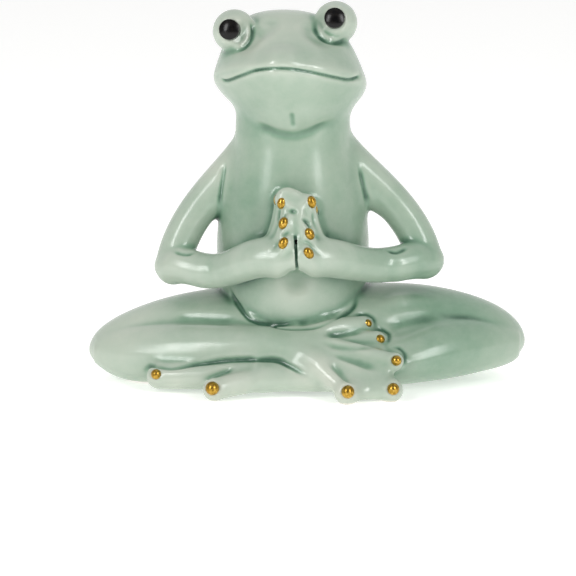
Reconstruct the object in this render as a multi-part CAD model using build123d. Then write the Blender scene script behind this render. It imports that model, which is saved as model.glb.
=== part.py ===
"""Celadon porcelain frog sitting cross-legged with its palms together.

The figure is built as a potter builds one: six slip castings (torso, head, two arms and two crossed legs)
are luted together at cut seats, and the eyes and nails are small pieces seated in the glazed castings.
Left and right are the frog's own. +X is the frog's left, -Y is its front and +Z is up.
"""

from build123d import *

import os
from math import sqrt

# Torso casting
torso_width = 56.0
torso_depth = 46.0
torso_height = 96.0
wall = 4.0
neck_lap = 3.0
vent_radius = 5.0
luting_vent_radius = 3.0

# Head casting
head_width = 55.6
head_length = 54.6
head_height = 40.0
head_pitch = 20.0
head_yaw = -6.0
head_side_step = 0.8
head_lean = 4.0
mouth_groove_radius = 0.9
mouth_half_angle = 72.0

# Eyes
brow_radius = 7.9
eyeball_radius = 6.5
eyeball_step = 2.6
pupil_radius = 3.7
pupil_thickness = 2.0

# Arms
right_elbow_reach = 43.9
left_elbow_reach = 48.3
right_elbow_height = 42.4
left_elbow_height = 44.7
shoulder_height = 78.0
elbow_forward = 9.0
wrist_forward = 28.0
wrist_height = 50.0
wrist_reach = 11.6
arm_radius = 6.6
elbow_radius = 7.0

# Hands
hand_height = 71.7
hand_forward = 35.0
finger_radius = 2.5
finger_tip_radius = 3.0
palm_gap = 0.4
palm_side_step = 1.0

# Legs
right_knee_reach = 75.0
left_knee_reach = 85.2
thigh_height = 31.0
thigh_depth = 29.0
shin_forward = 29.0
shin_radius = 11.0
instep_height = 18.0

# Feet
foot_reach = 38.0
foot_forward = 49.0
heel_height = 9.5
under_foot_reach = 51.0
toe_stem_radius = 2.7
toe_tip_radius = 4.1
web_thickness = 4.0

# Gilded nails
toe_nail_radius = 2.3
finger_nail_length = 4.6
finger_nail_width = 3.4
finger_nail_seat = 2.1

# Stations of the torso, base to neck: height, half width and half depth.
TORSO_SHARES = (
    (0.00, 0.62, 0.68),
    (0.10, 0.76, 0.83),
    (0.20, 0.87, 0.94),
    (0.34, 0.96, 1.01),
    (0.50, 1.00, 1.00),
    (0.64, 0.96, 0.95),
    (0.76, 0.87, 0.89),
    (0.88, 0.78, 0.81),
    (1.00, 0.745, 0.78),
)
# Stations of the head above the neck: height, forward place, half width, half length and pitch.
HEAD_SHARES = (
    (0.085, 0.04, 0.76, 0.76, 0.3),
    (0.18, 0.11, 0.85, 0.88, 0.7),
    (0.275, 0.147, 0.95, 0.97, 1.0),
    (0.345, 0.14, 1.00, 1.00, 1.0),
    (0.45, 0.08, 0.975, 0.95, 1.0),
    (0.60, -0.02, 0.89, 0.80, 1.0),
    (0.75, -0.13, 0.765, 0.64, 1.0),
    (0.86, -0.20, 0.62, 0.49, 1.0),
    (0.92, -0.25, 0.46, 0.35, 1.0),
    (0.953, -0.27, 0.28, 0.20, 1.0),
)
MOUTH_STATION = 3
# Eyes: side, forward and height places on the head, then the way the pupil looks.
RIGHT_EYE_SHARES = (-0.742, 0.30, 0.84, (-0.20, -0.95, 0.20))
LEFT_EYE_SHARES = (0.579, 0.19, 0.905, (-0.06, -0.93, 0.33))
# Upper arm from shoulder to elbow: reach, forward and drop, then radius.
UPPER_ARM_SHARES = (
    (0.29, -0.25, -0.26, 1.27),
    (0.465, -0.22, 0.0, 1.15),
    (0.65, 0.0, 0.23, 1.06),
    (0.868, 0.44, 0.57, 1.0),
    (1.0, 1.0, 1.0, 1.02),
)
# Forearm from elbow past the wrist to the heel of the hand: share of the way in reach, forward and
# height, then radius.
FOREARM_SHARES = (
    (0.0, 0.0, 0.0, 1.0),
    (0.35, 0.37, 0.05, 0.98),
    (0.75, 0.76, 0.52, 1.02),
    (1.0, 1.0, 0.95, 1.10),
    (1.22, 1.13, 0.97, 1.08),
    (1.45, 1.26, 1.06, 0.86),
)
# Palm from wrist to finger roots: side, forward, height, half depth and half width.
PALM_SHARES = (
    (1.10, 0.785, 0.66, 0.80, 0.80),
    (0.52, 0.85, 0.73, 1.02, 0.66),
    (0.22, 0.84, 0.85, 0.86, 0.42),
    (0.17, 0.79, 0.98, 0.60, 0.32),
)
# Fingers, front to back: root, knuckle and tip, each by side, forward and height.
RIGHT_FINGER_SHARES = (
    ((0.95, 0.90, 0.66), (0.54, 0.985, 0.71), (0.30, 1.0, 0.79)),
    ((1.00, 0.84, 0.69), (0.55, 0.92, 0.775), (0.30, 0.915, 0.882)),
    ((0.95, 0.77, 0.72), (0.56, 0.815, 0.83), (0.34, 0.80, 0.976)),
    ((0.90, 0.71, 0.73), (0.62, 0.73, 0.84), (0.45, 0.715, 0.986)),
)
LEFT_FINGER_SHARES = (
    ((0.95, 0.91, 0.65), (0.55, 0.99, 0.685), (0.32, 1.005, 0.739)),
    ((1.00, 0.85, 0.68), (0.58, 0.935, 0.745), (0.34, 0.94, 0.83)),
    ((0.95, 0.77, 0.72), (0.60, 0.82, 0.83), (0.395, 0.81, 0.982)),
    ((0.90, 0.68, 0.73), (0.62, 0.68, 0.82), (0.45, 0.663, 0.93)),
)
# Thigh from hip to knee cap: reach, backward, height, half depth and half height.
RIGHT_THIGH_SHARES = (
    (0.05, -0.25, 0.500, 1.20, 0.78),
    (0.16, -0.25, 0.560, 1.38, 1.00),
    (0.373, -0.10, 0.550, 1.32, 0.99),
    (0.587, -0.06, 0.495, 1.12, 0.90),
    (0.773, -0.20, 0.425, 0.92, 0.745),
    (0.907, -0.40, 0.371, 0.67, 0.53),
    (0.973, -0.48, 0.355, 0.38, 0.29),
)
RIGHT_KNEE_SHARES = (1.0, -0.52, 0.355)
LEFT_THIGH_SHARES = (
    (0.044, -0.25, 0.510, 1.20, 0.78),
    (0.141, -0.25, 0.580, 1.38, 1.00),
    (0.352, -0.05, 0.580, 1.32, 1.05),
    (0.587, 0.05, 0.560, 1.20, 1.02),
    (0.751, -0.05, 0.520, 1.05, 0.905),
    (0.880, -0.24, 0.477, 0.85, 0.71),
    (0.962, -0.38, 0.445, 0.52, 0.42),
)
LEFT_KNEE_SHARES = (1.0, -0.45, 0.435)
# Right shin over the left one, knee to instep: reach, forward, height, half depth and half height.
RIGHT_SHIN_SHARES = (
    (-0.973, 0.27, 0.60, 0.36, 0.40),
    (-0.907, 0.29, 0.60, 0.64, 0.70),
    (-0.800, 0.36, 0.59, 0.86, 0.92),
    (-0.693, 0.44, 0.61, 0.98, 0.98),
    (-0.507, 0.60, 0.68, 1.00, 0.99),
    (-0.293, 0.77, 0.78, 0.92, 0.90),
    (-0.107, 0.91, 0.90, 0.72, 0.70),
    (0.053, 0.99, 0.98, 0.54, 0.52),
    (0.147, 1.00, 0.97, 0.46, 0.40),
)
# Left shin below it, knee to heel, in the same order.
LEFT_SHIN_SHARES = (
    (0.977, 0.24, 1.42, 0.36, 0.46),
    (0.920, 0.26, 1.43, 0.62, 0.72),
    (0.820, 0.36, 1.44, 0.88, 0.87),
    (0.704, 0.48, 1.42, 1.04, 0.97),
    (0.528, 0.68, 1.24, 1.14, 0.90),
    (0.352, 0.82, 1.03, 1.12, 0.78),
    (0.164, 1.05, 0.90, 0.75, 0.58),
    (0.0, 1.14, 0.86, 0.52, 0.49),
    (-0.164, 1.19, 0.84, 0.49, 0.47),
)
# Toes of the upper foot, back to front: knuckle and tip, each by reach, forward and height.
RIGHT_TOE_SHARES = (
    ((0.41, 0.48, 1.26), (0.70, 0.392, 1.27)),
    ((0.47, 0.52, 1.06), (0.815, 0.51, 1.02)),
    ((0.53, 0.665, 0.90), (0.965, 0.735, 0.73)),
    ((0.50, 0.755, 0.63), (0.93, 0.865, 0.233)),
    ((0.27, 0.775, 0.64), (0.505, 0.94, 0.233)),
)
RIGHT_TOE_ROOT_SHARES = (0.11, 0.592, 1.0)
RIGHT_TOE_TIP_SHARES = (0.74, 0.76, 0.86, 1.02, 1.04)
RIGHT_TOE_NAIL_SHARES = (0.70, 0.80, 0.83, 0.96, 1.04)
WEB_REACH_SHARE = 0.90
# Toes of the foot below: root, knuckle and tip, each by reach, forward and height, then their radii.
LEFT_TOE_SHARES = (
    (((-0.20, 0.704, 0.86), 1.80), ((-0.627, 0.633, 0.68), 1.76), ((-0.955, 0.565, 0.60), 1.66)),
    (((-0.12, 0.72, 0.80), 1.70), ((-0.37, 0.80, 0.62), 1.55), ((-0.555, 0.87, 0.46), 1.45)),
)
LEFT_TOE_TIP_SHARES = (1.13, 1.05)
LEFT_TOE_NAIL_SHARES = (0.83, 1.08)
NAIL_SINK_SHARE = 0.3
NAIL_ALONG_SHARE = 0.25
NAIL_UP_SHARE = 0.45
FINGER_NAIL_FRONT_SHARE = 1.55
RIGHT_TOE_STEM_SHARES = (1.9, 1.32, 1.1)

overrun = 4 * torso_height


def section(centre, along, half_depth, half_height, upright):
    """Ellipse square to a limb, with its first half axis level and its second one upright."""
    return Plane(centre, x_dir=upright.cross(along), z_dir=along) * Ellipse(half_depth, half_height)


def limb(stations, tip=None, upright=Vector(0, 0, 1)):
    """Loft through (centre, half depth, half height) stations, closed at a point where a tip is given."""
    centres = [station[0] for station in stations]
    ends = centres + ([tip] if tip else [])
    slices = []
    for i, (centre, half_depth, half_height) in enumerate(stations):
        along = ends[min(i + 1, len(ends) - 1)] - ends[max(i - 1, 0)]
        slices.append(section(centre, along.normalized(), half_depth, half_height, upright))
    return loft([*slices, Vertex(*tip)] if tip else slices)


def ball(centre, radius, along=Vector(0, 0, 1)):
    """Sphere at a point, with its poles on a line."""
    return Plane(centre, z_dir=along) * Sphere(radius)


def between(start, end, shares):
    """Point that lies the given share of the way along each axis."""
    return Vector(*(a + (b - a) * share for a, b, share in zip(start, end, shares)))


def torso_stations(inset):
    """Torso ellipses, drawn in by an inset, base to neck."""
    for height, half_width, half_depth in TORSO_SHARES:
        yield (
            Vector(0, 0, height * torso_height),
            half_width * torso_width / 2 - inset,
            half_depth * torso_depth / 2 - inset,
        )


def torso_form(inset, base):
    """Solid torso from the base height to the neck."""
    slices = [Plane(centre) * Ellipse(a, b) for centre, a, b in torso_stations(inset)]
    whole = loft(slices)
    return whole - Pos(0, 0, base - overrun / 2) * Box(overrun, overrun, overrun)


def head_plane(height, forward, pitch):
    """Plane of a head station, tipped back with the face and turned with the head."""
    turn = Pos(head_side_step - head_lean * height, 0, 0) * Rot(0, 0, head_yaw)
    place = turn * Pos(0, -forward * head_length / 2, torso_height + height * head_height)
    return Plane((place * Rot(-pitch * head_pitch, 0, 0)))


def head_form(inset):
    """Solid head from the neck to the crown, drawn in by an inset."""
    neck_centre, neck_width, neck_depth = list(torso_stations(inset))[-1]
    slices = [Plane(neck_centre - Vector(0, 0, neck_lap)) * Ellipse(neck_width, neck_depth)]
    slices.append(Plane(neck_centre) * Ellipse(neck_width, neck_depth))
    shrink = 1 - inset / head_height
    for height, forward, half_width, half_length, pitch in HEAD_SHARES:
        side_inset = inset * (1 - height)
        ellipse = Ellipse(
            shrink * half_width * head_width / 2 - side_inset,
            shrink * half_length * head_length / 2 - side_inset,
        )
        slices.append(head_plane(shrink * height, forward, pitch) * ellipse)
    return loft(slices)


def mouth_groove():
    """Round groove along the front of the widest head section, corner to corner."""
    height, forward, half_width, half_length, pitch = HEAD_SHARES[MOUTH_STATION]
    lip = EllipticalCenterArc(
        (0, 0),
        half_width * head_width / 2,
        half_length * head_length / 2,
        start_angle=-90 - mouth_half_angle,
        arc_size=2 * mouth_half_angle,
    )
    path = head_plane(height, forward, pitch) * lip
    start = Plane(path @ 0, z_dir=path % 0)
    groove = sweep(start * Circle(mouth_groove_radius), path=path)
    return groove + ball(path @ 0, mouth_groove_radius) + ball(path @ 1, mouth_groove_radius)


def eye(shares):
    """Brow mound, eyeball and domed pupil at one eye."""
    side, forward, height, look = shares
    mound_centre = Vector(
        head_side_step - head_lean * HEAD_SHARES[MOUTH_STATION][0] + side * head_width / 2,
        -forward * head_length / 2,
        torso_height + height * head_height,
    )
    gaze = Vector(*look).normalized()
    ball_centre = mound_centre + gaze * eyeball_step
    mound = ball(mound_centre, brow_radius) + ball(ball_centre, eyeball_radius)
    seat = Plane(ball_centre + gaze * (eyeball_radius - pupil_thickness / 2), z_dir=gaze)
    drum = seat * Cylinder(pupil_radius, pupil_thickness * 2)
    dome_radius = sqrt(pupil_radius**2 + eyeball_radius**2)
    pupil = drum & ball(ball_centre, dome_radius)
    return mound, pupil - ball(ball_centre, eyeball_radius - pupil_thickness)


def arm(side, elbow_reach, elbow_height, finger_shares):
    """One arm casting with its hand; side is -1 for the right arm and 1 for the left."""
    shoulder = Vector(0, 0, shoulder_height)
    elbow = Vector(side * elbow_reach, -elbow_forward, elbow_height)
    wrist = Vector(side * wrist_reach, -wrist_forward, wrist_height)
    upper = []
    for reach, forward, drop, radius in UPPER_ARM_SHARES:
        centre = between(shoulder, elbow, (reach, forward, drop))
        upper.append((centre, radius * arm_radius, radius * arm_radius))
    fore = []
    for *way, radius in FOREARM_SHARES:
        fore.append((between(elbow, wrist, way), radius * arm_radius, radius * arm_radius))
    casting = limb(upper) + ball(elbow, elbow_radius) + limb(fore)

    def at(across, forward, height):
        across_palm = palm_side_step + side * across * wrist_reach
        return Vector(across_palm, -forward * hand_forward, height * hand_height)

    facing = Vector(0, 1, 0)
    palm = []
    for *place, half_depth, half_width in PALM_SHARES:
        palm.append((at(*place), half_width * arm_radius, half_depth * arm_radius))
    casting += limb(palm, upright=facing)
    nails = []
    for root, knuckle, tip in finger_shares:
        points = [at(*root), at(*knuckle), at(*tip)]
        casting += limb([(point, finger_radius, finger_radius) for point in points], upright=facing)
        casting += ball(points[2], finger_tip_radius, points[2] - points[1])
        nails.append(finger_nail(side, points[1], points[2]))
    palm_face = Pos(palm_side_step - side * (overrun - palm_gap) / 2, 0, 0) * Box(overrun, overrun, overrun)
    return casting - palm_face, nails


def finger_nail(side, knuckle, tip):
    """Oval nail on the outer front of a fingertip."""
    along = (tip - knuckle).normalized()
    outward = Vector(side, -FINGER_NAIL_FRONT_SHARE, 0)
    outward = (outward - along * outward.dot(along)).normalized()
    centre = tip + outward * finger_nail_seat
    half_length = finger_nail_length / 2
    half_width = finger_nail_width / 2
    outline = EllipticalCenterArc((0, 0), half_width, half_length, start_angle=-90, arc_size=180)
    bead = revolve(make_face(outline + Line(outline @ 0, outline @ 1)), Axis.Y)
    return Plane(centre, x_dir=outward, z_dir=outward.cross(along)) * bead


def thigh(side, reach_to_knee, shares, knee_shares, inset):
    """Thigh from inside the torso to the knee, or its cavity where an inset is given."""
    def at(reach, back, height):
        return Vector(side * reach * reach_to_knee, back * thigh_depth / 2, height * thigh_height)

    stations = []
    for *place, half_depth, half_height in shares:
        deep = half_depth * thigh_depth / 2 - inset
        high = half_height * thigh_height / 2 - inset
        if min(deep, high) > inset:
            stations.append((at(*place), deep, high))
    return limb(stations) if inset else limb(stations, at(*knee_shares))


def shin(reach_to_knee, ankle_height, shares):
    """Shin from inside the knee to the foot."""
    stations = []
    for reach, forward, height, half_depth, half_height in shares:
        centre = Vector(reach * reach_to_knee, -forward * shin_forward, height * ankle_height)
        stations.append((centre, half_depth * shin_radius, half_height * shin_radius))
    return limb(stations)


def toe_nail(knuckle, tip, tip_radius, nail_radius):
    """Round nail on the front of a toe tip."""
    along = (tip - knuckle).normalized()
    outward = (along * NAIL_ALONG_SHARE + Vector(0, -1, NAIL_UP_SHARE)).normalized()
    return ball(tip + outward * (tip_radius - nail_radius * NAIL_SINK_SHARE), nail_radius)


def upper_foot():
    """Right foot: five webbed toes fanned over the left leg."""
    def at(reach, forward, height):
        return Vector(reach * foot_reach, -forward * foot_forward, height * instep_height)

    root = at(*RIGHT_TOE_ROOT_SHARES)
    foot = None
    nails = []
    bones = []
    toes = zip(RIGHT_TOE_SHARES, RIGHT_TOE_TIP_SHARES, RIGHT_TOE_NAIL_SHARES)
    for (knuckle, tip), tip_share, nail_share in toes:
        points = [root, at(*knuckle), at(*tip)]
        radii = [toe_stem_radius * share for share in RIGHT_TOE_STEM_SHARES]
        tip_radius = toe_tip_radius * tip_share
        stem = limb([(point, radius, radius) for point, radius in zip(points, radii)])
        toe = stem + ball(points[2], tip_radius, points[2] - points[1])
        foot = toe if foot is None else foot + toe
        nails.append(toe_nail(points[1], points[2], tip_radius, toe_nail_radius * nail_share))
        bones.append(points)
    for near, far in zip(bones, bones[1:]):
        edge = [bone[1] + (bone[2] - bone[1]) * WEB_REACH_SHARE for bone in (near, far)]
        for corners in ((root, near[1], far[1]), (near[1], edge[0], edge[1]), (near[1], edge[1], far[1])):
            face = make_face(Polyline(*corners, close=True))
            foot += extrude(face, web_thickness / 2, both=True)
    return foot, nails


def lower_toes():
    """Left foot: the two toes that show below the right shin."""
    toes = None
    nails = []
    rows = zip(LEFT_TOE_SHARES, LEFT_TOE_TIP_SHARES, LEFT_TOE_NAIL_SHARES)
    for stations, tip_share, nail_share in rows:
        points = []
        for (reach, forward, height), radius in stations:
            centre = Vector(reach * under_foot_reach, -forward * foot_forward, height * heel_height)
            points.append((centre, radius * toe_stem_radius, radius * toe_stem_radius))
        knuckle, tip = points[1][0], points[2][0]
        tip_radius = toe_tip_radius * tip_share
        toe = limb(points) + ball(tip, tip_radius, tip - knuckle)
        toes = toe if toes is None else toes + toe
        nails.append(toe_nail(knuckle, tip, tip_radius, toe_nail_radius * nail_share))
    return toes, nails


def main():
    floor_cut = Pos(0, 0, -overrun / 2) * Box(overrun, overrun, overrun)
    neck_cut = Pos(0, 0, torso_height) * floor_cut
    torso_solid = torso_form(0, 0)
    luting_height = LEFT_THIGH_SHARES[0][2] * thigh_height
    luting_back = LEFT_THIGH_SHARES[0][1] * thigh_depth / 2
    luting_place = Pos(0, luting_back, luting_height) * Rot(0, 90, 0)
    luting_vents = luting_place * Cylinder(luting_vent_radius, overrun)
    torso = torso_solid - torso_form(wall, wall) - Cylinder(vent_radius, overrun) - luting_vents

    right_mound, right_pupil = eye(RIGHT_EYE_SHARES)
    left_mound, left_pupil = eye(LEFT_EYE_SHARES)
    head = head_form(0) - mouth_groove() + right_mound + left_mound
    head = head - right_pupil - left_pupil - head_form(wall) - neck_cut

    right_arm, right_finger_nails = arm(-1, right_elbow_reach, right_elbow_height, RIGHT_FINGER_SHARES)
    left_arm, left_finger_nails = arm(1, left_elbow_reach, left_elbow_height, LEFT_FINGER_SHARES)
    right_hand_nails = Compound(right_finger_nails)
    left_hand_nails = Compound(left_finger_nails)
    right_arm = right_arm - torso_solid - right_hand_nails
    left_arm = left_arm - torso_solid - left_hand_nails

    under_toes, left_toe_nails = lower_toes()
    left_leg = thigh(1, left_knee_reach, LEFT_THIGH_SHARES, LEFT_KNEE_SHARES, 0)
    left_leg = left_leg + shin(left_knee_reach, heel_height, LEFT_SHIN_SHARES) + under_toes
    foot, right_toe_nails = upper_foot()
    right_leg = thigh(-1, right_knee_reach, RIGHT_THIGH_SHARES, RIGHT_KNEE_SHARES, 0)
    right_leg = right_leg + shin(right_knee_reach, instep_height, RIGHT_SHIN_SHARES) + foot
    left_foot_nails = Compound(left_toe_nails)
    right_foot_nails = Compound(right_toe_nails)
    left_leg = left_leg - torso_solid - floor_cut - left_foot_nails - right_foot_nails
    right_leg = right_leg - torso_solid - left_leg - floor_cut - right_foot_nails - left_foot_nails
    left_leg = left_leg - thigh(1, left_knee_reach, LEFT_THIGH_SHARES, LEFT_KNEE_SHARES, wall)
    right_leg = right_leg - thigh(-1, right_knee_reach, RIGHT_THIGH_SHARES, RIGHT_KNEE_SHARES, wall)

    pieces = {
        "torso_casting": torso,
        "head_casting": head,
        "right_arm_casting": right_arm,
        "left_arm_casting": left_arm,
        "right_leg_casting": right_leg,
        "left_leg_casting": left_leg,
        "right_pupil": right_pupil,
        "left_pupil": left_pupil,
        "right_hand_nails": right_hand_nails,
        "left_hand_nails": left_hand_nails,
        "right_foot_nails": right_foot_nails,
        "left_foot_nails": left_foot_nails,
    }
    box = Compound([solid for piece in pieces.values() for solid in piece.solids()]).bounding_box()
    to_origin = Pos(-box.center().X, -box.center().Y, -box.min.Z)
    os.makedirs("parts", exist_ok=True)
    for name, piece in pieces.items():
        print(name, [round(solid.volume) for solid in piece.solids()], piece.is_valid)
        export_step(to_origin * Compound(piece.solids()), os.path.join("parts", name + ".step"))


main()
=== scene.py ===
"""Looks of the celadon frog figurine.

The six castings get one glaze skin. Their solids are merged in a distance field, the seams are rounded as
wet slip rounds them, and the lips, lids, knuckles and webs are modelled there. The skin is then meshed and
parted at the seams again, one closed piece for each casting.
Lengths are in millimetres unless a name says otherwise. The frame and the meshes are in metres.
Left and right are the frog's own. +X is its left, -Y its front and +Z up.
"""

from math import cos, pi, radians, sin

import bpy
import numpy as np
import openvdb
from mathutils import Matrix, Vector
from mathutils.bvhtree import BVHTree


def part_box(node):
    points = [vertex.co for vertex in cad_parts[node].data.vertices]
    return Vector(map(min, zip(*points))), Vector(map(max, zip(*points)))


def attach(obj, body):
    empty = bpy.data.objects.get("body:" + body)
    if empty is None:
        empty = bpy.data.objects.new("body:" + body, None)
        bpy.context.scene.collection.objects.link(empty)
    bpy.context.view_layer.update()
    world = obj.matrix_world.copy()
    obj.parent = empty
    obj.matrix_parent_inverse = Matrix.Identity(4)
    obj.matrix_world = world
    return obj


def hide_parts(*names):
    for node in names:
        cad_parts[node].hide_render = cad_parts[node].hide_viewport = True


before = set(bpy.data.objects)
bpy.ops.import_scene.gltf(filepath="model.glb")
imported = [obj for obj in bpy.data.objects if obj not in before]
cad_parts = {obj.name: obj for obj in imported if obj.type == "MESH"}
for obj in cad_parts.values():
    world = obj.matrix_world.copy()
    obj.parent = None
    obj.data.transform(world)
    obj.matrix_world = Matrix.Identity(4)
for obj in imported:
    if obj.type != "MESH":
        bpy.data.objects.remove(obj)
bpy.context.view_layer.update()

MM = 0.001
CASTINGS = (
    "torso_casting",
    "head_casting",
    "right_arm_casting",
    "left_arm_casting",
    "right_leg_casting",
    "left_leg_casting",
)

# The glaze skin
voxel = 0.5
tight_fillet = 0.8
soft_fillet = 2.2
wide_fillet = 7.0
settle_blur = 0.5
knead_blur = 2.0
field_margin = 5.0
band_voxels = 4
plug_height = 3.6
plug_radius = 7.0
plug_sides = 16
slope_step = 1.0
border_rounds = 8
island_rounds = 3
skin_per_island = 100

# The modeller's strokes, in pixels where they follow the photograph
stroke_step_pixels = 1.5
arc_points = 9
seen_reach = 70.0
seen_step = 0.25

# The hands, in front of the torso's axis
finger_forward = 28.0
arch_radius = 1.9
pad_radius = 2.6
heel_forward = 50.0
palm_back = 27.0
heel_notch_radius = 3.6
fingertip_blend = 1.5
heel_notch_blend = 5.0
elbow_fill_radius = 4.5
elbow_fill_blend = 3.0

# The feet
lower_foot_blend = 3.0
web_edge_blend = 4.0

# The eyelids, in pixels outside an eyeball's edge
lid_groove_gap = 4.8
lid_rim_gap = 0.8

# The camera, as it stands to the photograph
camera_distance = 1500.0
camera_elevation = radians(12.0)
frame_pixels = 576
pixels_per_mm = 2.71
sensor_width = 36.0
aim_aside = -1.8
aim_height = 32.7
sight_end_m = 20.0

# The studio light, with its sizes and distances in metres and its directions in degrees
front_glow = 0.12
back_glow = 0.95
glow_from = -0.4
glow_to = 0.8
floor_glow = 0.42
floor_half_m = 4.0
softbox_elevation = 26
softbox_distance_m = 1.3
softbox_width_m = 0.3
softbox_height_m = 0.8
softbox_watts = 7
right_softbox_azimuth = -43
left_softbox_azimuth = 40
ceiling_elevation = 75
ceiling_distance_m = 1.6
ceiling_side_m = 2.4
ceiling_watts = 3


def corners_mm(node):
    """A node's lowest and highest corners."""
    return np.array(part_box(node)) / MM


torso_low, torso_high = corners_mm("torso_casting")
torso_axis = (torso_low + torso_high) / 2
axis_foot = torso_axis * (1, 1, 0)
aim_point = np.array((torso_axis[0] + aim_aside, torso_axis[1], aim_height))
view_forward = np.array((0.0, cos(camera_elevation), -sin(camera_elevation)))
view_right = np.array((1.0, 0.0, 0.0))
view_up = np.array((0.0, sin(camera_elevation), cos(camera_elevation)))
camera_place = aim_point - camera_distance * view_forward


def casting_mesh(node):
    """A casting's vertices in millimetres and its triangles."""
    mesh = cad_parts[node].data
    mesh.calc_loop_triangles()
    places = np.empty(len(mesh.vertices) * 3, np.float32)
    mesh.vertices.foreach_get("co", places)
    corners = np.empty(len(mesh.loop_triangles) * 3, np.int32)
    mesh.loop_triangles.foreach_get("vertices", corners)
    return places.reshape(-1, 3) / MM, corners.reshape(-1, 3)


def joined_castings():
    """All castings as one set of triangles, with the casting that each triangle belongs to."""
    places, triangles, owners, count = [], [], [], 0
    for number, node in enumerate(CASTINGS):
        node_places, node_triangles = casting_mesh(node)
        places.append(node_places)
        triangles.append(node_triangles + count)
        owners.append(np.full(len(node_triangles), number))
        count += len(node_places)
    return np.concatenate(places), np.concatenate(triangles), np.concatenate(owners)


def vent_plug(first_corner):
    """A disc across the vent in the base, so that the hollow inside stays out of the skin."""
    turns = np.linspace(0, 2 * pi, plug_sides, endpoint=False)
    rim = np.stack((np.cos(turns), np.sin(turns), 0 * turns), axis=1) * plug_radius
    middle = np.array((torso_axis[0], torso_axis[1], plug_height))
    places = np.vstack((rim + middle, middle))
    corners = np.arange(plug_sides)
    fan = np.stack((corners, np.roll(corners, -1), np.full(plug_sides, plug_sides)), axis=1)
    return places, fan + first_corner


casting_corners = np.array([corners_mm(node) for node in CASTINGS])
field_low = np.floor((casting_corners[:, 0].min(axis=0) - field_margin) / voxel).astype(int)
field_high = np.ceil((casting_corners[:, 1].max(axis=0) + field_margin) / voxel).astype(int)
field_size = tuple(int(count) for count in field_high - field_low)
field_start = tuple(int(index) for index in field_low)
lattice_step = openvdb.createLinearTransform(voxelSize=voxel)


def level_set(places, triangles, quads, reach):
    """Signed distances to a closed mesh, out to a reach on both sides of it."""
    faces = {"triangles": triangles, "quads": quads}
    faces = {kind: np.ascontiguousarray(rows, np.uint32) for kind, rows in faces.items() if len(rows)}
    places = np.ascontiguousarray(places, np.float32)
    half_width = reach / voxel + band_voxels
    return openvdb.FloatGrid.createLevelSetFromPolygons(
        places, transform=lattice_step, halfWidth=half_width, **faces
    )


def offset_again(grid, offset, reach):
    """Distances to the surface that lies an offset outside a grid's own."""
    places, triangles, quads = grid.convertToPolygons(offset)
    return level_set(places, triangles, quads, reach)


def distances(grid):
    """A grid's values over the whole field."""
    values = np.empty(field_size, np.float32)
    grid.copyToArray(values, ijk=field_start)
    return values


def blurred(values, spread):
    """Values averaged over a Gaussian neighbourhood, whose spread is in millimetres."""
    reach = int(np.ceil(2.5 * spread / voxel))
    steps = np.arange(-reach, reach + 1)
    weights = np.exp(-0.5 * (steps * voxel / spread) ** 2)
    weights = (weights / weights.sum()).astype(np.float32)
    for axis in range(3):
        padding = [(0, 0)] * 3
        padding[axis] = (reach, reach)
        padded = np.pad(values, padding, mode="edge")
        total = np.zeros_like(values)
        for step, weight in enumerate(weights):
            window = [slice(None)] * 3
            window[axis] = slice(step, step + values.shape[axis])
            total += weight * padded[tuple(window)]
        values = total
    return values


def sampled(values, places):
    """Lattice values at any places, by weights of the eight lattice points round each."""
    index = np.asarray(places) / voxel - field_low
    index = np.clip(index, 0, np.array(field_size) - 1.001)
    whole = index.astype(int)
    part = index - whole
    total = 0
    for corner in np.ndindex(2, 2, 2):
        weight = np.prod(np.where(corner, part, 1 - part), axis=-1)
        spot = whole + corner
        total = total + weight * values[spot[..., 0], spot[..., 1], spot[..., 2]]
    return total


def soft_ball(middle, radius, edge):
    """One inside a ball, nought outside it and a smooth step between, over the whole field."""
    axes = [np.arange(first, first + count) * voxel for first, count in zip(field_low, field_size)]
    squares = [(axis - place) ** 2 for axis, place in zip(axes, middle)]
    gap = np.sqrt(squares[0][:, None, None] + squares[1][None, :, None] + squares[2][None, None, :])
    share = np.clip((radius + edge - gap) / edge, 0, 1).astype(np.float32)
    return share * share * (3 - 2 * share)


def smooth_line(points):
    """Points a pixel or so apart on a smooth curve through the given ones."""
    points = np.asarray(points, float)
    guides = np.vstack((2 * points[0] - points[1], points, 2 * points[-1] - points[-2]))
    curve = []
    for before, start, end, after in zip(guides, guides[1:], guides[2:], guides[3:]):
        count = max(int(np.linalg.norm(end - start) / stroke_step_pixels), 1)
        t = np.linspace(0, 1, count, endpoint=False)[:, None]
        bend = 2 * before - 5 * start + 4 * end - after
        twist = 3 * start - before - 3 * end + after
        curve.append(start + t * (end - before) / 2 + t**2 * bend / 2 + t**3 * twist / 2)
    return np.vstack((*curve, points[-1]))


def arc(middle, radius, start, end):
    """Pixels on an arc, from one angle to another, clockwise from the right in degrees."""
    turns = np.radians(np.linspace(start, end, arc_points))
    return np.stack((middle[0] + radius * np.cos(turns), middle[1] + radius * np.sin(turns)), axis=1)


def rays_through(pixels):
    """Ways from the camera through pixels of the photograph's frame, one millimetre deep."""
    middle = frame_pixels / 2
    focal = pixels_per_mm * camera_distance
    pixels = np.asarray(pixels, float)
    rays = view_forward + np.outer(pixels[:, 0] - middle, view_right) / focal
    return rays + np.outer(middle - pixels[:, 1], view_up) / focal


def in_front(pixels, forward):
    """Places under pixels of the photograph's frame, at a distance in front of the torso's axis."""
    rays = rays_through(pixels)
    depth = (torso_axis[1] - forward - camera_place[1]) / rays[:, 1]
    return camera_place + rays * depth[:, None]


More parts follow.
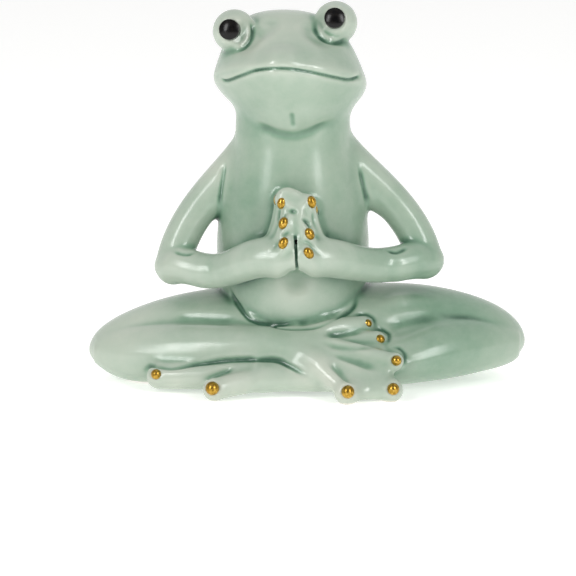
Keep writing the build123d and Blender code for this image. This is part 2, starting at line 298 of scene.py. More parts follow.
class Clay:
    """The figure as signed distances on a lattice, negative inside, for tools to press into or add to."""

    def __init__(self, values):
        self.values = values

    def outward(self, places):
        """The skin's outward direction near places."""
        steps = np.eye(3) * slope_step
        slopes = [sampled(self.values, places + step) - sampled(self.values, places - step) for step in steps]
        slopes = np.stack(slopes, axis=-1)
        return slopes / np.linalg.norm(slopes, axis=-1, keepdims=True)

    def seen_at(self, pixels):
        """The skin's places under those pixels of the photograph's frame that show the figure."""
        rays = rays_through(pixels)
        depths = np.arange(camera_distance - seen_reach, camera_distance + seen_reach, seen_step)
        found = sampled(self.values, camera_place + rays[:, None, :] * depths[None, :, None])
        inside = found < 0
        hit = inside.any(axis=1)
        rays, found = rays[hit], found[hit]
        row, after = np.arange(len(rays)), np.argmax(inside[hit], axis=1)
        before = after - 1
        share = found[row, before] / (found[row, before] - found[row, after])
        depth = depths[before] + share * (depths[after] - depths[before])
        return camera_place + rays * depth[:, None]

    def blend_with(self, distance, window, blend, cut):
        """Adds a form to the clay, or cuts it out, with an edge rounded over the blend."""
        clay = -self.values[window] if cut else self.values[window]
        overlap = np.maximum(blend - np.abs(clay - distance), 0) / blend
        merged = np.minimum(clay, distance) - overlap * overlap * blend / 4
        self.values[window] = -merged if cut else merged

    def window_round(self, low, high):
        """The part of the lattice that holds a box, with the places of its points."""
        low = np.maximum(np.floor(low / voxel).astype(int) - field_low, 0)
        high = np.minimum(np.ceil(high / voxel).astype(int) + 1 - field_low, field_size)
        axes = [np.arange(first, last) for first, last in zip(low + field_low, high + field_low)]
        lattice = np.stack(np.meshgrid(*axes, indexing="ij"), axis=-1) * voxel
        return tuple(slice(first, last) for first, last in zip(low, high)), lattice

    def tube(self, route, radii, blend, cut=False):
        """A round tool drawn along a route, with a radius at each of its points."""
        margin = np.max(radii) + blend + voxel
        distance = np.full(field_size, np.inf, np.float32)
        for start, end, first, last in zip(route, route[1:], radii, radii[1:]):
            low, high = np.minimum(start, end) - margin, np.maximum(start, end) + margin
            window, lattice = self.window_round(low, high)
            run = end - start
            share = np.clip(((lattice - start) @ run) / max(run @ run, 1e-9), 0, 1)
            gap = np.linalg.norm(lattice - start - share[..., None] * run, axis=-1)
            distance[window] = np.minimum(distance[window], gap - first - share * (last - first))
        window, _ = self.window_round(route.min(axis=0) - margin, route.max(axis=0) + margin)
        self.blend_with(distance[window], window, blend, cut)

    def stroke(self, pixels, radius, depth, blend, fade=(0.3, 0.3)):
        """Draws a round tool over the skin along a line of the photograph.

        A positive depth presses a groove and a negative one raises a ridge. The stroke fades in and out over
        a share of its length at each end.
        """
        line = smooth_line(pixels)
        route = self.seen_at(line)
        way = np.linspace(0, 1, len(route))
        rise = np.clip(way / max(fade[0], 0.01), 0, 1)
        fall = np.clip((1 - way) / max(fade[1], 0.01), 0, 1)
        strength = np.minimum(rise, fall)
        strength = strength * strength * (3 - 2 * strength)
        lift = radius + blend * (1 - strength) - abs(depth) * strength
        side = 1 if depth > 0 else -1
        middle = route + side * lift[:, None] * self.outward(route)
        self.tube(middle, np.full(len(route), radius), blend, cut=depth > 0)


places, triangles, owners = joined_castings()
plug_places, plug_triangles = vent_plug(len(places))
shell_places = np.vstack((places, plug_places))
shell_triangles = np.vstack((triangles, plug_triangles))
bare = level_set(shell_places, shell_triangles, (), tight_fillet)
tight_grid = offset_again(bare, tight_fillet, wide_fillet)
soft_grid = offset_again(tight_grid, soft_fillet - tight_fillet, soft_fillet)
wide_grid = offset_again(tight_grid, wide_fillet - tight_fillet, wide_fillet)

# Where the slip filled the seams more: balls from the foot of the torso's axis, with a radius and an edge
SOFT_PLACES = (
    ((0.0, -35.0, 60.0), 20.0, 6.0),
    ((25.0, -35.0, 14.0), 26.0, 8.0),
    ((-35.0, -45.0, 8.0), 30.0, 8.0),
)
WIDE_PLACES = (
    ((-25.0, 0.0, 84.0), 14.0, 14.0),
    ((25.0, 0.0, 84.0), 14.0, 14.0),
    ((0.0, 22.0, 98.0), 14.0, 12.0),
    ((-30.0, 20.0, 24.0), 12.0, 12.0),
    ((30.0, 20.0, 24.0), 12.0, 12.0),
    ((3.0, -33.0, 17.0), 6.0, 8.0),
    ((-12.0, -31.0, 50.0), 4.0, 6.0),
    ((13.0, -31.0, 50.0), 4.0, 6.0),
    ((45.0, -18.0, 22.0), 9.0, 9.0),
)
# Where the joints were kneaded smooth, in the same way
SMOOTH_PLACES = (
    ((-13.0, -32.0, 49.0), 5.0, 5.0),
    ((14.0, -32.0, 49.0), 5.0, 5.0),
    ((-42.0, -10.0, 37.0), 7.0, 5.0),
    ((47.0, -10.0, 39.0), 7.0, 5.0),
    ((1.0, -35.0, 17.0), 8.0, 8.0),
    ((27.0, -41.0, 5.0), 5.0, 5.0),
)


def mix_in(values, other, places):
    """Moves values to the other ones inside soft balls."""
    for middle, radius, edge in places:
        values += (other - values) * soft_ball(axis_foot + middle, radius, edge)


values = distances(tight_grid) + tight_fillet
mix_in(values, distances(soft_grid) + soft_fillet, SOFT_PLACES)
mix_in(values, distances(wide_grid) + wide_fillet, WIDE_PLACES)
values = blurred(values, settle_blur)
mix_in(values, blurred(values, knead_blur), SMOOTH_PLACES)
clay = Clay(values)

# The modeller's tools: each one's radius, its depth, and how far its edge is rounded.
# A negative depth raises a ridge.
CHIN_TOOL = (9.0, -0.7, 5.0)
SNOUT_TOOL = (5.0, -1.0, 4.0)
NOSTRIL_TOOL = (1.9, -0.5, 1.4)
EYE_HOLLOW_TOOL = (4.5, 0.8, 2.5)
LID_GROOVE_TOOL = (1.0, 0.7, 1.0)
LID_RIM_TOOL = (0.9, -0.5, 0.7)
MOUTH_TOOL = (0.7, 1.0, 0.5)
THROAT_FOLD_TOOL = (1.8, 0.8, 1.8)
THROAT_DIMPLE_TOOL = (1.1, 0.4, 0.8)
ARM_CREASE_TOOL = (1.0, 0.8, 0.8)
FINGER_CREASE_TOOL = (0.9, 0.9, 0.9)
FINGER_HOLLOW_TOOL = (1.1, 1.2, 0.8)
PALM_SLIT_TOOL = (0.55, 0.9, 0.3)
LAP_CREASE_TOOL = (2.2, 0.4, 2.0)
BELLY_CREASE_TOOL = (0.9, 0.9, 0.8)
FIFTH_TOE_TOOL = (3.5, -0.8, 3.0)
UPPER_TOE_TOOL = (3.0, -0.7, 1.5)
TOE_OUTLINE_TOOL = (0.8, 0.7, 0.7)
UPPER_TOE_VALLEY_TOOL = (1.4, 0.8, 1.2)
LOWER_FOOT_GROOVE_TOOL = (1.1, 1.1, 0.9)
LOWER_TOE_VALLEY_TOOL = (1.3, 1.2, 1.0)

# Lines of the photograph that the modeller's tools follow, in pixels of its frame
MOUTH = (
    (218.5, 77.5),
    (226, 81.3),
    (240.8, 76),
    (257, 70),
    (283, 68.5),
    (309, 71.8),
    (335, 77.5),
    (350, 79.8),
    (363, 75),
)
NOSTRILS = (((270.5, 58.5), (272.5, 58)), ((290, 58), (292, 58.5)))
SNOUT = ((273, 58.5), (281.5, 57), (290, 58.5))
RIGHT_EYE_HOLLOW = ((254, 24), (253, 38), (243, 48))
LEFT_EYE_HOLLOW = ((311, 21), (313, 34), (327, 41.5))
# Each eyeball's middle and radius, and the angles that its lower lid runs between
RIGHT_EYEBALL = ((231.6, 30.9), 16.0, -45, 100)
LEFT_EYEBALL = ((334.6, 22.2), 15.9, 195, 40)
THROAT_FOLD = (
    (243, 123.6),
    (264, 128.5),
    (278, 134),
    (294, 136),
    (308, 133),
    (322, 126),
    (341, 119.5),
)
CHIN = ((255, 112), (275, 121), (293, 124), (312, 119), (330, 109))
THROAT_DIMPLE = ((291.8, 111), (293.4, 129))


def model_face():
    """Lips, nostrils, eyelids and the throat."""
    clay.stroke(CHIN, *CHIN_TOOL)
    clay.stroke(SNOUT, *SNOUT_TOOL)
    for nostril in NOSTRILS:
        clay.stroke(nostril, *NOSTRIL_TOOL, fade=(0, 0))
    for hollow in (RIGHT_EYE_HOLLOW, LEFT_EYE_HOLLOW):
        clay.stroke(hollow, *EYE_HOLLOW_TOOL)
    for middle, radius, start, end in (RIGHT_EYEBALL, LEFT_EYEBALL):
        clay.stroke(arc(middle, radius + lid_groove_gap, start, end), *LID_GROOVE_TOOL)
        clay.stroke(arc(middle, radius + lid_rim_gap, start, end), *LID_RIM_TOOL)
    clay.stroke(MOUTH, *MOUTH_TOOL, fade=(0.04, 0.04))
    clay.stroke(THROAT_FOLD, *THROAT_FOLD_TOOL, fade=(0.25, 0.25))
    clay.stroke(THROAT_DIMPLE, *THROAT_DIMPLE_TOOL)


RIGHT_FINGER_CREASES = (
    ((279.7, 204), (278, 214.3), (277.3, 224.7), (274.5, 233), (269, 241)),
    ((288, 211.5), (282.8, 217.5), (281.2, 227), (279, 233), (274, 241)),
    ((294, 228.8), (289.2, 231.8), (282.8, 235.8), (278.9, 241.4), (273, 249), (262, 257.5)),
)
LEFT_FINGER_CREASES = (
    ((313.5, 208), (314.7, 222.3), (318, 231), (324, 240)),
    ((297.5, 218.3), (304.4, 219.9), (309.2, 224.7), (313.1, 231.8), (318, 239), (325, 247.5)),
    ((300, 241), (309, 243), (314, 248.6), (320, 254), (331, 260)),
)
FINGER_ARCH = ((280, 199), (282.5, 194.5), (287, 192.5), (293, 194), (300, 197.5), (308, 203))
FINGER_PADS = ((285, 200), (292, 200.5), (300, 203))
FINGER_HOLLOW = ((287, 212), (291, 210.6), (296, 212.5))
PALM_SLIT = ((294.6, 232), (295.5, 242), (296.2, 254), (296.6, 263), (297.4, 271))
HEEL_NOTCH = (296.2, 282.3)
ELBOWS = (((166, 268), (198, 272)), ((437, 265), (404, 270)))
ARM_CREASES = (
    ((226, 156), (221.7, 183), (217.5, 214)),
    ((358, 160), (364.7, 190.7), (370, 213)),
    ((170, 250), (186, 254), (200, 250)),
    ((384, 249), (396, 252), (410, 246)),
)


def model_hands():
    """The rounded elbows, creases of the arms and fingers, joined fingertips and the slit of the palms."""
    for elbow in ELBOWS:
        ends = clay.seen_at(elbow)
        fill = ends - elbow_fill_radius * clay.outward(ends)
        clay.tube(fill, (elbow_fill_radius, elbow_fill_radius), elbow_fill_blend)
    for crease in ARM_CREASES:
        clay.stroke(crease, *ARM_CREASE_TOOL)
    arch = in_front(smooth_line(FINGER_ARCH), finger_forward)
    clay.tube(arch, np.full(len(arch), arch_radius), fingertip_blend)
    pads = in_front(smooth_line(FINGER_PADS), finger_forward)
    clay.tube(pads, np.full(len(pads), pad_radius), fingertip_blend)
    notch = np.vstack([in_front([HEEL_NOTCH], forward) for forward in (heel_forward, palm_back)])
    clay.tube(notch, (heel_notch_radius, heel_notch_radius), heel_notch_blend, cut=True)
    for crease in RIGHT_FINGER_CREASES + LEFT_FINGER_CREASES:
        clay.stroke(crease, *FINGER_CREASE_TOOL, fade=(0.2, 0.75))
    clay.stroke(FINGER_HOLLOW, *FINGER_HOLLOW_TOOL)
    # A thin tool can't reach the slit's depth at once without leaving a tunnel, so it is drawn twice.
    for _ in range(2):
        clay.stroke(PALM_SLIT, *PALM_SLIT_TOOL, fade=(0.2, 0.1))


# The lower foot's side under the right shin, from the foot of the torso's axis, with its radii
LOWER_FOOT = np.array(((-10.0, -36.5, 7.0), (4.0, -35.5, 7.0), (16.0, -35.0, 6.0)))
LOWER_FOOT_RADII = (4.5, 4.8, 4.0)
# The edge of the web between the two front toes of the upper foot, in the same way
WEB_EDGE = np.array(((19.5, -45.0, 3.6), (27.5, -43.0, 3.2), (35.0, -41.5, 3.6)))
WEB_EDGE_RADII = (2.6, 2.4, 2.6)
LOWER_FOOT_GROOVE = (
    (143.4, 376),
    (146.6, 369),
    (153, 365.2),
    (171.8, 367.4),
    (198, 363.7),
    (229.7, 360),
    (261, 359.3),
    (277, 360.2),
    (290, 366),
    (301, 372.5),
    (312, 380.5),
)
LOWER_TOE_VALLEY = ((199, 383), (206, 379), (214, 375.3), (224.5, 371), (238, 368))
UPPER_TOE_VALLEYS = (
    ((319, 334.7), (337, 334.7), (356, 332.3), (368, 330.8)),
    ((316, 342), (327, 343.3), (337, 346), (351, 347.6), (365, 347), (380, 349.5)),
    ((324, 352), (337, 355.7), (351, 360.5), (365, 365.3), (385, 371)),
    ((326, 361), (337, 370), (346, 378.7), (356, 385.4)),
)
FIFTH_TOE_RIDGE = (
    (252, 346),
    (272, 347.5),
    (290, 351.5),
    (303, 356.7),
    (317.4, 364.3),
    (329, 373.5),
)
UPPER_TOES = (
    ((318, 331), (342, 326), (366, 322.8)),
    ((325, 339), (352, 337.5), (379, 336.8)),
)
TOE_OUTLINES = (
    ((350, 317), (364, 313.8), (373, 317.5), (375, 324), (371.5, 330.5)),
    ((373, 331), (382, 329.5), (389, 334), (388.5, 341.5), (384, 347)),
    ((388, 349), (398, 347.5), (405, 354), (405, 363), (398.5, 371)),
)
RIGHT_LAP_CREASE = ((163, 315), (177, 317.6), (198, 318.5), (219, 320), (246, 322.5))
LEFT_LAP_CREASE = ((440, 318), (420, 319), (400, 323), (385, 328))
BELLY_CREASE = (
    (229, 284),
    (234, 298),
    (246.6, 316.3),
    (256, 321.6),
    (272, 326.3),
    (292, 328.6),
    (312.6, 327.5),
    (327, 323.2),
    (341.3, 316.5),
    (353.8, 307),
    (358.5, 292),
)


def model_lap():
    """The line where the belly meets the legs, the folds of the legs, and the webbed feet."""
    clay.tube(axis_foot + LOWER_FOOT, LOWER_FOOT_RADII, lower_foot_blend)
    clay.stroke(RIGHT_LAP_CREASE, *LAP_CREASE_TOOL)
    clay.stroke(LEFT_LAP_CREASE, *LAP_CREASE_TOOL)
    clay.stroke(BELLY_CREASE, *BELLY_CREASE_TOOL, fade=(0.1, 0.1))
    clay.tube(axis_foot + WEB_EDGE, WEB_EDGE_RADII, web_edge_blend)
    clay.stroke(FIFTH_TOE_RIDGE, *FIFTH_TOE_TOOL, fade=(0.5, 0.2))
    for toe in UPPER_TOES:
        clay.stroke(toe, *UPPER_TOE_TOOL, fade=(0.6, 0))
    for outline in TOE_OUTLINES:
        clay.stroke(outline, *TOE_OUTLINE_TOOL)
    for valley in UPPER_TOE_VALLEYS:
        clay.stroke(valley, *UPPER_TOE_VALLEY_TOOL)
    clay.stroke(LOWER_FOOT_GROOVE, *LOWER_FOOT_GROOVE_TOOL, fade=(0.06, 0.12))
    clay.stroke(LOWER_TOE_VALLEY, *LOWER_TOE_VALLEY_TOOL)


model_face()
model_hands()
model_lap()


def skin_polygons(values):
    """The skin where the field is zero: its vertices and its four-sided faces, turned outward."""
    band = band_voxels * voxel
    grid = openvdb.FloatGrid(band)
    grid.transform = lattice_step
    grid.copyFromArray(np.clip(values, -band, band), ijk=field_start)
    grid.gridClass = openvdb.GridClass.LEVEL_SET
    skin_places, quads = grid.convertToQuads(0.0)
    return skin_places, quads[:, ::-1].astype(int)


def shared_edges(quads):
    """Pairs of faces that share an edge."""
    starts = quads.ravel()
    ends = np.roll(quads, -1, axis=1).ravel()
    keys = np.minimum(starts, ends) * (starts.max() + 1) + np.maximum(starts, ends)
    faces = np.repeat(np.arange(len(quads)), 4)
    order = np.argsort(keys, kind="stable")
    keys, faces = keys[order], faces[order]
    same = keys[:-1] == keys[1:]
    return np.stack((faces[:-1][same], faces[1:][same]), axis=1)


def groups_of(pairs, count):
    """The lowest member of each item's group, where pairs of items are joined."""
    group = np.arange(count)
    while True:
        lowest = np.minimum(group[pairs[:, 0]], group[pairs[:, 1]])
        joined = group.copy()
        np.minimum.at(joined, pairs[:, 0], lowest)
        np.minimum.at(joined, pairs[:, 1], lowest)
        joined = joined[joined[joined]]
        if np.array_equal(joined, group):
            return group
        group = joined


def face_owners(skin_places, quads):
    """The casting that each face of the skin lies on, with no ragged borders or stray islands."""
    tree = BVHTree.FromPolygons(places.tolist(), triangles.tolist())
    middles = skin_places[quads].mean(axis=1)
    owner = np.array([owners[tree.find_nearest(middle)[2]] for middle in middles.tolist()])
    kinds, corners = len(CASTINGS), quads.ravel()
    for _ in range(border_rounds):
        votes = np.bincount(corners * kinds + np.repeat(owner, 4), minlength=len(skin_places) * kinds)
        owner = votes.reshape(-1, kinds)[quads].sum(axis=1).argmax(axis=1)
    pairs = shared_edges(quads)
    for _ in range(island_rounds):
        same = owner[pairs[:, 0]] == owner[pairs[:, 1]]
        group = groups_of(pairs[same], len(quads))
        small = np.bincount(group, minlength=len(quads))[group] < len(quads) // skin_per_island
        edges = pairs[small[pairs[:, 0]] != small[pairs[:, 1]]]
        if not len(edges):
            break
        inner = np.where(small[edges[:, 0]], edges[:, 0], edges[:, 1])
        outer = np.where(small[edges[:, 0]], edges[:, 1], edges[:, 0])
        taken = np.full(len(quads), -1)
        taken[group[inner]] = owner[outer]
        owner = np.where(small & (taken[group] >= 0), taken[group], owner)
    return owner


def seam_loops(quads):
    """Closed loops of vertices round the open edges of a set of faces, against the faces' own turn."""
    starts = quads.ravel()
    ends = np.roll(quads, -1, axis=1).ravel()
    span = int(quads.max()) + 1
    open_edge = ~np.isin(starts * span + ends, ends * span + starts)
    following = {}
    for start, end in zip(ends[open_edge].tolist(), starts[open_edge].tolist()):
        following.setdefault(start, []).append(end)
    loops = []
    while following:
        vertex = next(iter(following))
        loop = []
        while vertex in following:
            loop.append(vertex)
            ways = following[vertex]
            step = ways.pop()
            if not ways:
                del following[vertex]
            vertex = step
        loops.append(loop)
    return loops


def casting_skin(node, skin_places, skin_normals, quads, glaze):
    """One casting's closed piece of the skin: its own faces, and a wall across each seam."""
    corners, quads = np.unique(quads, return_inverse=True)
    quads = quads.reshape(-1, 4)
    piece_places = skin_places[corners]
    piece_normals = skin_normals[corners]
    faces = quads.tolist()
    walls, wall_normals = [], []
    for loop in seam_loops(quads):
        middle = len(piece_places) + len(walls)
        walls.append(piece_places[loop].mean(axis=0))
        wall_normals.append(-piece_normals[loop].mean(axis=0))
        faces += [[start, end, middle] for start, end in zip(loop, loop[1:] + loop[:1])]
    if walls:
        piece_places = np.vstack((piece_places, walls))
        piece_normals = np.vstack((piece_normals, wall_normals))
    mesh = bpy.data.meshes.new(node + "_skin")
    mesh.from_pydata((piece_places * MM).tolist(), [], faces)
    mesh.polygons.foreach_set("use_smooth", np.ones(len(faces), bool))
    for name, amounts in glaze.items():
        layer = mesh.attributes.new(name, "FLOAT", "POINT")
        own = np.zeros(len(piece_places), np.float32)
        own[: len(corners)] = amounts[corners]
        layer.data.foreach_set("value", own)
    mesh.normals_split_custom_set_from_vertices(piece_normals.tolist())
    piece = bpy.data.objects.new(node + "_skin", mesh)
    bpy.context.scene.collection.objects.link(piece)
    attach(piece, "root")
    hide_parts(node)
    return piece


def linear(hex_colour):
    """A colour given as sRGB hex, in linear light."""
    shares = [int(hex_colour[place : place + 2], 16) / 255 for place in (1, 3, 5)]
    dark = [share / 12.92 for share in shares]
    bright = [((share + 0.055) / 1.055) ** 2.4 for share in shares]
    return [low if share <= 0.04045 else high for share, low, high in zip(shares, dark, bright)] + [1.0]


def add_node(tree, kind, links=(), settings=(), values=()):
    """Adds a node with its settings, values of its inputs, and links to its inputs."""
    node = tree.nodes.new(kind)
    for name, value in dict(settings).items():
        setattr(node, name, value)
    for name, value in dict(values).items():
        node.inputs[name].default_value = value
    for name, socket in dict(links).items():
        tree.links.new(socket, node.inputs[name])
    return node


def new_material(name):
    """An empty node material, with the shader that it ends in."""
    material = bpy.data.materials.new(name)
    material.use_nodes = True
    tree = material.node_tree
    shader = tree.nodes["Principled BSDF"]
    return material, tree, shader


def colour_stops(ramp, stops):
    """Sets a colour ramp's stops, each a place and an sRGB colour."""
    elements = ramp.color_ramp.elements
    while len(elements) < len(stops):
        elements.new(1.0)
    for element, (place, colour) in zip(elements, stops):
        element.position = place
        element.color = linear(colour)


# Finishes
# Glaze colours from thin to pooled; the depth that picks them carries painted light and painted shade too
GLAZE_DEPTH_AND_PAINTED_LIGHT_COLOURS = (
    (0.0, "#C6CCBE"),
    (0.35, "#AEBCAC"),
    (0.5, "#9CB09D"),
    (0.72, "#7B9A83"),
    (1.0, "#3E614D"),
)
GLAZE_ROUGHNESS = (0.19, 0.26)
# Noise lies mostly between these two values
NOISE_SPAN = {"From Min": 0.3, "From Max": 0.7}
glaze_ior = 1.55
enamel_specular = 0.3
# How the glaze's depth follows the shape: sizes of the bends that it fills, how much each adds, and how
# much less it thins over ridges
line_size, line_share = 0.7, 0.6
crease_size, crease_share = 1.2, 0.8
hollow_size, hollow_share = 3.5, 0.5
ridge_share = 0.45
usual_depth = 0.5
cloud_size = 7.0
cloud_share = 0.05
ripple_size = 9.0
ripple_depth = 0.12
foot_line = 0.5
BISQUE = "#D9D6CC"
bisque_roughness = 0.65
ENAMEL_COLOURS = ((0.35, "#050506"), (0.75, "#14110E"))
ENAMEL_ROUGHNESS = (0.18, 0.3)
enamel_mark_size = 1.2
GOLD_COLOURS = ((0.3, "#7A6022"), (0.5, "#B89038"), (0.7, "#DCB75C"))
GOLD_ROUGHNESS = (0.24, 0.4)
gold_patch_size = 1.0
gold_film_depth = 0.03


def celadon_glaze():
    """Celadon: an iron-green glaze fired over white porcelain.

    It is pale where it ran thin over ridges and deep where it pooled, faintly clouded by its own bubbles,
    and rippled where it ran. Its depth also carries painted light on lit places and painted shade in shaded
    ones. Its gloss is soft. The foot was wiped bare before firing.
    """
    material, tree, shader = new_material("celadon_glaze_on_porcelain")
    where = add_node(tree, "ShaderNodeTexCoord").outputs["Object"]
    # The depth attribute holds the glaze's pooling together with painted light and painted shade
    pool = add_node(tree, "ShaderNodeAttribute", settings={"attribute_name": "glaze_depth_and_painted_light"})
    cloud = add_node(
        tree,
        "ShaderNodeTexNoise",
        links={"Vector": where},
        values={"Scale": 1 / (cloud_size * MM), "Detail": 5.0, "Roughness": 0.6},
    )
    drift = add_node(
        tree,
        "ShaderNodeMapRange",
        links={"Value": cloud.outputs["Fac"]},
        values={**NOISE_SPAN, "To Min": -cloud_share, "To Max": cloud_share},
    )
    depth = add_node(tree, "ShaderNodeMath", links={0: pool.outputs["Fac"], 1: drift.outputs["Result"]})
    ramp = add_node(tree, "ShaderNodeValToRGB", links={"Fac": depth.outputs["Value"]})
    colour_stops(ramp, GLAZE_DEPTH_AND_PAINTED_LIGHT_COLOURS)
    height = add_node(tree, "ShaderNodeSeparateXYZ", links={"Vector": where})
    bare = add_node(
        tree,
        "ShaderNodeMapRange",
        links={"Value": height.outputs["Z"]},
        values={"From Min": foot_line * MM, "From Max": 2 * foot_line * MM, "To Min": 1.0, "To Max": 0.0},
    )
    colour = add_node(
        tree,
        "ShaderNodeMix",
        settings={"data_type": "RGBA"},
        links={"Factor": bare.outputs["Result"], 6: ramp.outputs["Color"]},
        values={7: linear(BISQUE)},
    )
    gloss = add_node(
        tree,
        "ShaderNodeMapRange",
        links={"Value": cloud.outputs["Fac"]},
        values={**NOISE_SPAN, "To Min": GLAZE_ROUGHNESS[0], "To Max": GLAZE_ROUGHNESS[1]},
    )
    roughness = add_node(
        tree,
        "ShaderNodeMix",
        links={"Factor": bare.outputs["Result"], "A": gloss.outputs["Result"]},
        values={"B": bisque_roughness},
    )
    run = add_node(
        tree,
        "ShaderNodeTexNoise",
        links={"Vector": where},
        values={"Scale": 1 / (ripple_size * MM), "Detail": 1.0},
    )
    ripple = add_node(
        tree,
        "ShaderNodeBump",
        links={"Height": run.outputs["Fac"]},
        values={"Distance": ripple_depth * MM},
    )
    tree.links.new(colour.outputs[2], shader.inputs["Base Color"])
    tree.links.new(roughness.outputs[0], shader.inputs["Roughness"])
    tree.links.new(ripple.outputs["Normal"], shader.inputs["Normal"])
    shader.inputs["IOR"].default_value = glaze_ior
    return material


def black_enamel():
    """Black overglaze enamel: a deep glossy black with thin, faintly brown brush marks."""
    material, tree, shader = new_material("black_overglaze_enamel")
    where = add_node(tree, "ShaderNodeTexCoord").outputs["Object"]
    brush = add_node(
        tree,
        "ShaderNodeTexNoise",
        links={"Vector": where},
        values={"Scale": 1 / (enamel_mark_size * MM), "Detail": 3.0},
    )
    ramp = add_node(tree, "ShaderNodeValToRGB", links={"Fac": brush.outputs["Fac"]})
    colour_stops(ramp, ENAMEL_COLOURS)
    gloss = add_node(
        tree,
        "ShaderNodeMapRange",
        links={"Value": brush.outputs["Fac"]},
        values={"To Min": ENAMEL_ROUGHNESS[0], "To Max": ENAMEL_ROUGHNESS[1]},
    )
    tree.links.new(ramp.outputs["Color"], shader.inputs["Base Color"])
    tree.links.new(gloss.outputs["Result"], shader.inputs["Roughness"])
    shader.inputs["Specular IOR Level"].default_value = enamel_specular
    return material


def gold_lustre():
    """Fired gold lustre: a metal film brushed over the glaze, bright where full and ochre where thin."""
    material, tree, shader = new_material("fired_gold_lustre")
    where = add_node(tree, "ShaderNodeTexCoord").outputs["Object"]
    film = add_node(
        tree,
        "ShaderNodeTexNoise",
        links={"Vector": where},
        values={"Scale": 1 / (gold_patch_size * MM), "Detail": 4.0},
    )
    ramp = add_node(tree, "ShaderNodeValToRGB", links={"Fac": film.outputs["Fac"]})
    colour_stops(ramp, GOLD_COLOURS)
    gloss = add_node(
        tree,
        "ShaderNodeMapRange",
        links={"Value": film.outputs["Fac"]},
        values={**NOISE_SPAN, "To Min": GOLD_ROUGHNESS[1], "To Max": GOLD_ROUGHNESS[0]},
    )
    stroke = add_node(
        tree,
        "ShaderNodeBump",
        links={"Height": film.outputs["Fac"]},
        values={"Distance": gold_film_depth * MM},
    )
    tree.links.new(ramp.outputs["Color"], shader.inputs["Base Color"])
    tree.links.new(gloss.outputs["Result"], shader.inputs["Roughness"])
    tree.links.new(stroke.outputs["Normal"], shader.inputs["Normal"])
    shader.inputs["Metallic"].default_value = 1.0
    return material


# Where the glaze ran thin or thick in the firing, partly painted light on lit, rounded places and painted
# shade on the chest sides, in the lap and under the arms: a pixel of the photograph's frame, the patch's
# reach and how much shallower or deeper the glaze is there
THIN_GLAZE_AND_PAINTED_LIGHT = (
    ((285, 26), 15.0, 0.22),
    ((252, 47), 7.0, 0.25),
    ((216, 166), 9.0, 0.25),
    ((172, 260), 8.0, 0.10),
    ((293, 288), 9.0, 0.25),
    ((112, 345), 12.0, 0.15),
    ((140, 318), 12.0, 0.20),
    ((178, 381), 9.0, 0.15),
    ((232, 377), 9.0, 0.22),
    ((312, 372), 8.0, 0.25),
    ((335, 386), 8.0, 0.22),
)
# The thick patches also paint shade where the body lies in shade between the limbs
THICK_GLAZE_AND_PAINTED_SHADE = (
    ((248, 128), 8.0, 0.16),
    ((337, 128), 8.0, 0.12),
    ((244, 195), 14.0, 0.18),
    ((345, 190), 12.0, 0.08),
    ((345, 92), 9.0, 0.08),
    ((402, 205), 10.0, 0.10),
    ((430, 258), 11.0, 0.18),
    ((380, 252), 13.0, 0.16),
    ((246, 285), 7.0, 0.14),
    ((345, 288), 7.0, 0.10),
    ((418, 300), 12.0, 0.14),
    ((468, 305), 16.0, 0.18),
    ((455, 352), 16.0, 0.20),
    ((420, 362), 12.0, 0.12),
    ((282, 338), 8.0, 0.10),
)


def glaze_runs_and_painted_light(places):
    """How much deeper than usual the glaze is at places of the skin, by its thin and thick patches, which
    hold painted light and painted shade as well as the glaze's own runs.
    """
    patches = [(pixel, reach, -share) for pixel, reach, share in THIN_GLAZE_AND_PAINTED_LIGHT]
    patches += THICK_GLAZE_AND_PAINTED_SHADE
    deeper = np.zeros(len(places))
    for pixel, reach, share in patches:
        middle = clay.seen_at([pixel])[0]
        gap = np.linalg.norm(places - middle, axis=1)
        deeper += share * np.exp(-((gap / reach) ** 2))
    return deeper


skin_places, quads = skin_polygons(clay.values)
skin_normals = clay.outward(skin_places)
owner = face_owners(skin_places, quads)
crease = -sampled(blurred(clay.values, crease_size), skin_places) / crease_size
hollow = -sampled(blurred(clay.values, hollow_size), skin_places) / hollow_size
line = -sampled(blurred(clay.values, line_size), skin_places) / line_size
bends = crease_share * crease + hollow_share * hollow + line_share * line
# The glaze's depth: real pooling in bends, plus the patches with their painted light and painted shade
depth = usual_depth + np.where(bends > 0, bends, ridge_share * bends) + glaze_runs_and_painted_light(skin_places)
glaze_depth_and_painted_light = {"glaze_depth_and_painted_light": np.clip(depth, 0, 1).astype(np.float32)}
celadon = celadon_glaze()
for number, node in enumerate(CASTINGS):
    piece = casting_skin(node, skin_places, skin_normals, quads[owner == number], glaze_depth_and_painted_light)
    piece.data.materials.append(celadon)

enamel = black_enamel()
gold = gold_lustre()
for node, finish in (
    ("right_pupil", enamel),
    ("left_pupil", enamel),
    ("right_hand_nails", gold),
    ("left_hand_nails", gold),
    ("right_foot_nails", gold),
    ("left_foot_nails", gold),
):
    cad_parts[node].data.materials[0] = finish

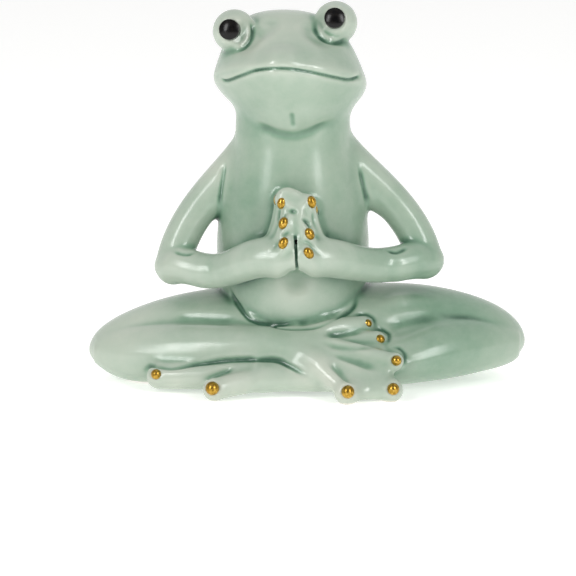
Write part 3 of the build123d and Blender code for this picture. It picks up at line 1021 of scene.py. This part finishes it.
# Floor, light and camera
floor_mesh = bpy.data.meshes.new("floor")
floor_corners = [(floor_half_m * x, floor_half_m * y, 0) for x, y in ((-1, -1), (1, -1), (1, 1), (-1, 1))]
floor_mesh.from_pydata(floor_corners, [], [(0, 1, 2, 3)])
floor = bpy.data.objects.new("floor", floor_mesh)
bpy.context.scene.collection.objects.link(floor)
floor_finish, floor_tree, floor_shader = new_material("pale_paper")
floor_shader.inputs["Base Color"].default_value = linear("#F7F7F5")
floor_shader.inputs["Roughness"].default_value = 0.7
floor_shader.inputs["Emission Color"].default_value = linear("#FFFFFF")
floor_shader.inputs["Emission Strength"].default_value = floor_glow
floor_mesh.materials.append(floor_finish)

world = bpy.data.worlds.new("studio")
bpy.context.scene.world = world
world.use_nodes = True
studio = world.node_tree
where = add_node(studio, "ShaderNodeTexCoord")
split = add_node(studio, "ShaderNodeSeparateXYZ", links={"Vector": where.outputs["Generated"]})
glow = add_node(
    studio,
    "ShaderNodeMapRange",
    links={"Value": split.outputs["Y"]},
    values={"From Min": glow_from, "From Max": glow_to, "To Min": front_glow, "To Max": back_glow},
)
studio.links.new(glow.outputs["Result"], studio.nodes["Background"].inputs["Strength"])
studio.nodes["Background"].inputs["Color"].default_value = linear("#FFFFFF")


def softbox(name, azimuth, elevation, distance, width, height, watts):
    """A rectangular light that faces the figure."""
    data = bpy.data.lights.new(name, "AREA")
    data.shape = "RECTANGLE"
    data.size = width
    data.size_y = height
    data.energy = watts
    light = bpy.data.objects.new(name, data)
    bpy.context.scene.collection.objects.link(light)
    turn, lift = radians(azimuth), radians(elevation)
    way = Vector((sin(turn) * cos(lift), -cos(turn) * cos(lift), sin(lift)))
    target = Vector(torso_axis) * MM
    light.location = target + way * distance
    light.rotation_euler = (target - light.location).to_track_quat("-Z", "Y").to_euler()


softbox_build = (softbox_elevation, softbox_distance_m, softbox_width_m, softbox_height_m, softbox_watts)
softbox("right_softbox", right_softbox_azimuth, *softbox_build)
softbox("left_softbox", left_softbox_azimuth, *softbox_build)
ceiling_build = (ceiling_elevation, ceiling_distance_m, ceiling_side_m, ceiling_side_m, ceiling_watts)
softbox("ceiling_sheet", 0, *ceiling_build)

camera_data = bpy.data.cameras.new("camera")
camera_data.sensor_width = sensor_width
camera_data.lens = sensor_width * pixels_per_mm * camera_distance / frame_pixels
camera = bpy.data.objects.new("camera", camera_data)
bpy.context.scene.collection.objects.link(camera)
camera.location = Vector(camera_place) * MM
camera.rotation_euler = (pi / 2 - camera_elevation, 0, 0)
camera_data.clip_end = sight_end_m
bpy.context.scene.camera = camera
bpy.context.scene.view_settings.view_transform = "Standard"
